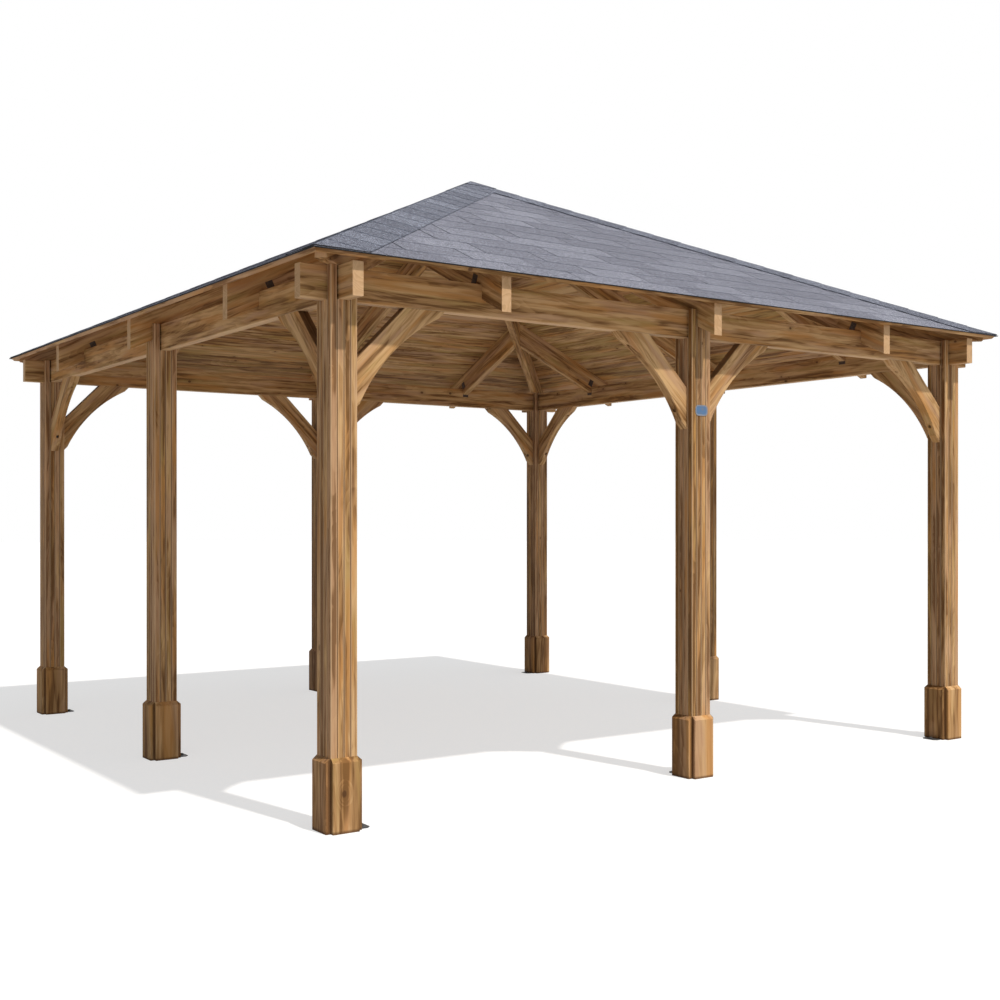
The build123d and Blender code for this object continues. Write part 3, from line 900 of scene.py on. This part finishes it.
# a cap is folded over the hip, so each slope carries one half of it, cut at the hip
def addHipCaps():
    finish = shingleFinish("capGranules", shingles["capColours"], 1.6)
    model = startTab("capModel", hipCaps["exposure"] + shingles["lap"])
    down = Vector((math.cos(roof["slope"]), -1, 0)).normalized()
    for side, turn in sides.items():
        slope = slopeMatrix(turn, roof["deckPeak"])
        halves = []
        for hand in (-1, 1):
            count = int(hipCaps["first"] / hipCaps["exposure"])
            for number in range(count + 1):
                lower = hipCaps["first"] - number * hipCaps["exposure"]
                along = Vector((down.x * hand, down.y, 0))
                inward = Vector((down.y * hand, -down.x, 0))
                width = hipCaps["half"] + hipCaps["pastHip"]
                foot = along * lower + inward * (width / 2 - hipCaps["pastHip"])
                turned = Matrix((-inward * hand, -along, Vector((0, 0, 1)))).transposed().to_4x4()
                matrix = slope @ Matrix.Translation(foot + Vector((0, 0, hipCaps["base"]))) @ turned
                halves.append(layTab(model, matrix, width, anyTone(hipCaps["tones"])))
        caps = joined(halves, "hipCaps_" + side)
        cutAtHips(caps, turn, 0.0, roof["reach"] + hipCaps["pastEaves"])
        finishPiece(caps, finish, "roof_felt")
    bpy.data.objects.remove(model)
    addPeakCap(finish)


def addPeakCap(finish):
    rise = hipCaps["base"] + shingles["lift"] + 2 * shingles["thickness"]
    steep = math.tan(roof["slope"])
    depth = (hipCaps["peakReach"] - hipCaps["peakFlat"]) * steep
    top = roof["deckPeak"] + rise / math.cos(roof["slope"]) - hipCaps["peakFlat"] * steep
    bpy.ops.object.select_all(action="DESELECT")
    bpy.ops.mesh.primitive_cone_add(vertices=4, radius1=hipCaps["peakReach"] * math.sqrt(2), depth=depth,
                                    radius2=hipCaps["peakFlat"] * math.sqrt(2),
                                    location=(0, 0, top - depth / 2), rotation=(0, 0, math.pi / 4))
    cap = bpy.context.object
    cap.name = "peakCap"
    bpy.ops.object.transform_apply(location=True, rotation=True, scale=True)
    bpy.ops.object.mode_set(mode="EDIT")
    pickEdges(cap, lambda a, b: abs(a.z - b.z) > 0.01)
    bpy.ops.mesh.bevel(offset=0.002, segments=2, affect="EDGES")
    bpy.ops.object.mode_set(mode="OBJECT")
    setEach(cap, "tabTone", "FLOAT", 0.0)
    finishPiece(cap, finish, "roof_felt")


# Metal: one group gives dust and fine scratches to all of it
metals = {
    "steel": (0.035, 0.037, 0.042),
    # painted shade: the shoes' near-black brown stands for the shade in the housings under the jack rafters
    "shoe": (0.045, 0.024, 0.014),
    "screw": (0.10, 0.085, 0.065),
    "plate": (0.085, 0.17, 0.315),
    "plateRim": (0.21, 0.235, 0.29),
    "dust": (0.20, 0.17, 0.14),
    "roughness": 0.5,
}


def makeWearGroup():
    group = bpy.data.node_groups.new("metalWear", "ShaderNodeTree")
    group.interface.new_socket("Place", in_out="INPUT", socket_type="NodeSocketVector")
    group.interface.new_socket("Dusty", in_out="INPUT", socket_type="NodeSocketFloat")
    for name in ("Dust", "Scratch"):
        group.interface.new_socket(name, in_out="OUTPUT", socket_type="NodeSocketFloat")
    entry = group.nodes.new("NodeGroupInput").outputs
    cloud = noise(group, entry["Place"], 60.0, 3.0, 0.6)
    scratch = noise(group, stretched(group, entry["Place"], 90.0, 2400.0), 1.0, 2.0, 0.6)
    dust = calc(group, "MULTIPLY", spread(group, cloud, 0.4, 0.75), entry["Dusty"])
    leave = group.nodes.new("NodeGroupOutput")
    group.links.new(dust, leave.inputs["Dust"])
    group.links.new(scratch, leave.inputs["Scratch"])
    return group


def metalFinish(name, colour, dusty=0.4, rim=None):
    finish, tree = newFinish(name, colour)
    wear = put(tree, "Group")
    wear.node_tree = wearGroup
    tree.links.new(put(tree, "TexCoord").outputs["Object"], wear.inputs["Place"])
    wear.inputs["Dusty"].default_value = dusty
    body = blendColour(tree, wear.outputs["Dust"], colour, metals["dust"])
    if rim:
        mask = put(tree, "Attribute", attribute_name="rim").outputs["Fac"]
        body = blendColour(tree, mask, body, rim)
    scratch = wear.outputs["Scratch"]
    feeds = {
        "Base Color": body,
        "Roughness": calc(tree, "MULTIPLY_ADD", scratch, 0.25, metals["roughness"] - 0.12),
        "Normal": put(tree, "Bump", {"Height": scratch, "Strength": 0.2, "Distance": 0.0002}).outputs[0],
        "Specular IOR Level": 0.35,
    }
    shader = put(tree, "BsdfPrincipled", feeds)
    put(tree, "OutputMaterial", {0: shader.outputs[0]})
    return finish


# a screw or bolt head: its seat at z = 0, with a socket in its top
def startHead(name, radius, height, sidesOfHead):
    bpy.ops.object.select_all(action="DESELECT")
    bpy.ops.mesh.primitive_cylinder_add(vertices=sidesOfHead, radius=radius, depth=height,
                                        location=(0, 0, height / 2))
    head = bpy.context.object
    head.name = name
    bpy.ops.object.transform_apply(location=True, rotation=True, scale=True)
    bpy.ops.object.mode_set(mode="EDIT")
    pickEdges(head, lambda a, b: a.z > height * 0.9 and b.z > height * 0.9)
    bpy.ops.mesh.bevel(offset=height * 0.25, segments=2, affect="EDGES")
    pickFaces(head, lambda face: face.normal.z > 0.99 and face.calc_center_median().z > height * 0.9)
    bpy.ops.mesh.inset(thickness=radius * 0.4)
    bpy.ops.transform.translate(value=(0, 0, -height * 0.4))
    bpy.ops.object.mode_set(mode="OBJECT")
    return head


# Ground brackets: thin flanges on the ground at the feet, held by an anchor bolt each
brackets = {
    "width": 0.09,
    "flange": 0.046,
    "thickness": 0.003,
    "nose": 0.015,
    "tuck": 0.02,
    "arris": 0.0004,
    "seat": 0.0002,
    "places": [(-1, -1, 90), (-1, 0, 90), (-1, 1, 90), (1, -1, 270), (1, 0, 270), (1, 1, 270),
               (0, -1, 180), (0, 1, 0)],
    "bolt": (0.0085, 0.0064),
    "boltPast": 0.0015,
    "washer": (0.0105, 0.0018),
}


def addBrackets():
    foot = (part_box("skirt_front_left")[1].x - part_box("skirt_front_left")[0].x) / 2
    length = brackets["flange"] + brackets["tuck"]
    size = (brackets["width"], length, brackets["thickness"])
    middle = (0, -foot + brackets["tuck"] - length / 2, size[2] / 2 + brackets["seat"])
    flange = startBlock("flangeModel", size, middle)
    bpy.ops.object.mode_set(mode="EDIT")
    pickEdges(flange, lambda a, b: abs(a.z - b.z) > 0.001 and max(a.y, b.y) < -foot)
    bpy.ops.mesh.bevel(offset=brackets["nose"], segments=1, affect="EDGES")
    bpy.ops.mesh.select_all(action="SELECT")
    bpy.ops.mesh.bevel(offset=brackets["arris"], segments=1, affect="EDGES")
    bpy.ops.object.mode_set(mode="OBJECT")
    boltRadius, boltHeight = brackets["bolt"]
    washerRadius, washerHeight = brackets["washer"]
    bolt = startHead("boltModel", boltRadius, boltHeight, 6)
    washer = startHead("washerModel", washerRadius, washerHeight, 20)
    across = -foot - brackets["flange"] / 2 - brackets["boltPast"]
    level = size[2] + brackets["seat"]
    pieces = []
    for x, y, turn in brackets["places"]:
        post = Matrix.Translation((x * postPitch, y * postPitch, 0))
        post = post @ Matrix.Rotation(math.radians(turn), 4, "Z")
        pieces.append(copyTo(flange, post))
        pieces.append(copyTo(washer, post @ Matrix.Translation((0, across, level))))
        pieces.append(copyTo(bolt, post @ Matrix.Translation((0, across, level + washerHeight * 0.6))))
    for model in (flange, bolt, washer):
        bpy.data.objects.remove(model)
    finishPiece(joined(pieces, "groundFlanges"), metalFinish("darkCoatedSteel", metals["steel"]), "steel",
                "ground_brackets")


# Screws in the pockets of the braces: foot screws face away from the post, head screws down
screws = {
    "radius": 0.0066,
    "height": 0.0032,
    "seat": 0.04,
    "inset": 0.325,
}


def addScrews():
    model = startHead("screwModel", screws["radius"], screws["height"], 16)
    inner = postPitch - postHalf
    pieces = []
    for side, turn in sides.items():
        starts = [(-inner, 1), (inner, -1)]
        if side in ("front", "back"):
            starts += [(postHalf, 1), (-postHalf, -1)]
        for start, hand in starts:
            plane = Matrix.Rotation(math.radians(turn), 4, "Z")
            foot = (start + hand * screws["seat"], -postPitch, beamUnder - screws["inset"])
            head = (start + hand * screws["inset"], -postPitch, beamUnder - screws["seat"])
            toSide = Matrix.Rotation(math.radians(90 * hand), 4, "Y")
            toFloor = Matrix.Rotation(math.pi, 4, "X")
            pieces.append(copyTo(model, plane @ Matrix.Translation(foot) @ toSide))
            pieces.append(copyTo(model, plane @ Matrix.Translation(head) @ toFloor))
    bpy.data.objects.remove(model)
    finishPiece(joined(pieces, "braceScrews"), metalFinish("screwSteel", metals["screw"], 0.2), "steel")


# The plate: a rounded blue field inside a grey rim
plate = {
    "round": 0.018,
    "rim": 0.006,
    "sunk": 0.0007,
}


def addPlate():
    low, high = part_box("plain_plate")
    size = high - low
    middle = (low + high) / 2
    badge = startBlock("plainBadge", size, middle)
    bpy.ops.object.mode_set(mode="EDIT")
    pickEdges(badge, lambda a, b: abs(a.y - b.y) > 0.001)
    bpy.ops.mesh.bevel(offset=plate["round"], segments=6, affect="EDGES")
    pickFaces(badge, lambda face: face.normal.y < -0.99)
    bpy.ops.mesh.inset(thickness=plate["rim"] * 0.6)
    bpy.ops.mesh.inset(thickness=plate["rim"] * 0.4)
    bpy.ops.transform.translate(value=(0, plate["sunk"], 0))
    bpy.ops.object.mode_set(mode="OBJECT")
    layer = badge.data.attributes.new("rim", "FLOAT", "FACE")
    for item, face in zip(layer.data, badge.data.polygons):
        field = face.normal.y < -0.99 and face.center.y > low.y + plate["sunk"] / 2
        item.value = 0.0 if field else 1.0
    finish = metalFinish("bluePlatePaint", metals["plate"], 0.5, metals["plateRim"])
    finishPiece(badge, finish, "plate", "plain_plate")


# Shoes under the jack rafters: dark plates on the inner face of the beam and on the rafter. They stand where
# shade falls in the housings under the rafters, and their near-black brown is painted shade.
shoes = {
    "jack": 1.145,
    "rafter": 0.045,
    "beam": 0.0225,
    "plumb": 0.0925,
    "drop": 0.058,
    "cheek": (0.034, 0.042),
    "thickness": 0.002,
    "arris": 0.0005,
    "screw": (0.0042, 0.0016),
    "screwLevels": (0.3, 0.72),
    "cheekScrew": 0.6,
}


def addShoes():
    inner = postPitch - shoes["beam"]
    thick = shoes["thickness"]
    boardUnder = roof["deckPeak"] - roof["boardThickness"] / math.cos(roof["slope"])
    under = boardUnder - inner * math.tan(roof["slope"]) - shoes["plumb"] / math.cos(roof["slope"])
    long, tall = shoes["cheek"]
    lean = Matrix.Rotation(roof["slope"], 4, "X")
    leg = startBlock("legModel", (shoes["rafter"], thick, shoes["drop"]), (0, thick / 2, -shoes["drop"] / 2))
    cheek = startBlock("cheekModel", (thick, long, tall), (0, long / 2, tall / 2))
    seat = startBlock("seatModel", (shoes["rafter"] + 2 * thick, long, thick), (0, long / 2, -thick / 2))
    for model in (leg, cheek, seat):
        alone(model)
        bpy.ops.object.mode_set(mode="EDIT")
        bpy.ops.mesh.select_all(action="SELECT")
        bpy.ops.mesh.bevel(offset=shoes["arris"], segments=1, affect="EDGES")
        bpy.ops.object.mode_set(mode="OBJECT")
    head = startHead("shoeScrewModel", *shoes["screw"], 12)
    inwards = Matrix.Rotation(-math.pi / 2, 4, "X")
    pieces = []
    for side, turn in sides.items():
        for hand in (-1, 1):
            place = Matrix.Rotation(math.radians(turn), 4, "Z")
            place = place @ Matrix.Translation((hand * shoes["jack"], -inner, under))
            pieces.append(copyTo(leg, place))
            pieces.append(copyTo(seat, place @ lean))
            for level in shoes["screwLevels"]:
                spot = Matrix.Translation((0, thick, -shoes["drop"] * level)) @ inwards
                pieces.append(copyTo(head, place @ spot))
            for edge in (-1, 1):
                out = edge * (shoes["rafter"] + thick) / 2
                pieces.append(copyTo(cheek, place @ lean @ Matrix.Translation((out, 0, 0))))
                faceOut = Matrix.Rotation(edge * math.pi / 2, 4, "Y")
                spot = Matrix.Translation((out + edge * thick / 2, long / 2, tall * shoes["cheekScrew"]))
                spot = spot @ faceOut
                pieces.append(copyTo(head, place @ lean @ spot))
    for model in (leg, cheek, seat, head):
        bpy.data.objects.remove(model)
    finishPiece(joined(pieces, "rafterShoes"), metalFinish("brownShoeSteel", metals["shoe"], 0.25), "steel")


print("camera, light and floor")
addCamera()
addSun()
addSky()
addFloor()
print("timber")
timberGroup = makeTimberGroup()
dressTimber()
print("roof boards")
addRoofBoards()
print("underlay and shingles")
addUnderlay()
addShingles()
print("hip caps")
addHipCaps()
print("metal fittings")
wearGroup = makeWearGroup()
addBrackets()
addScrews()
addShoes()
print("plate")
addPlate()
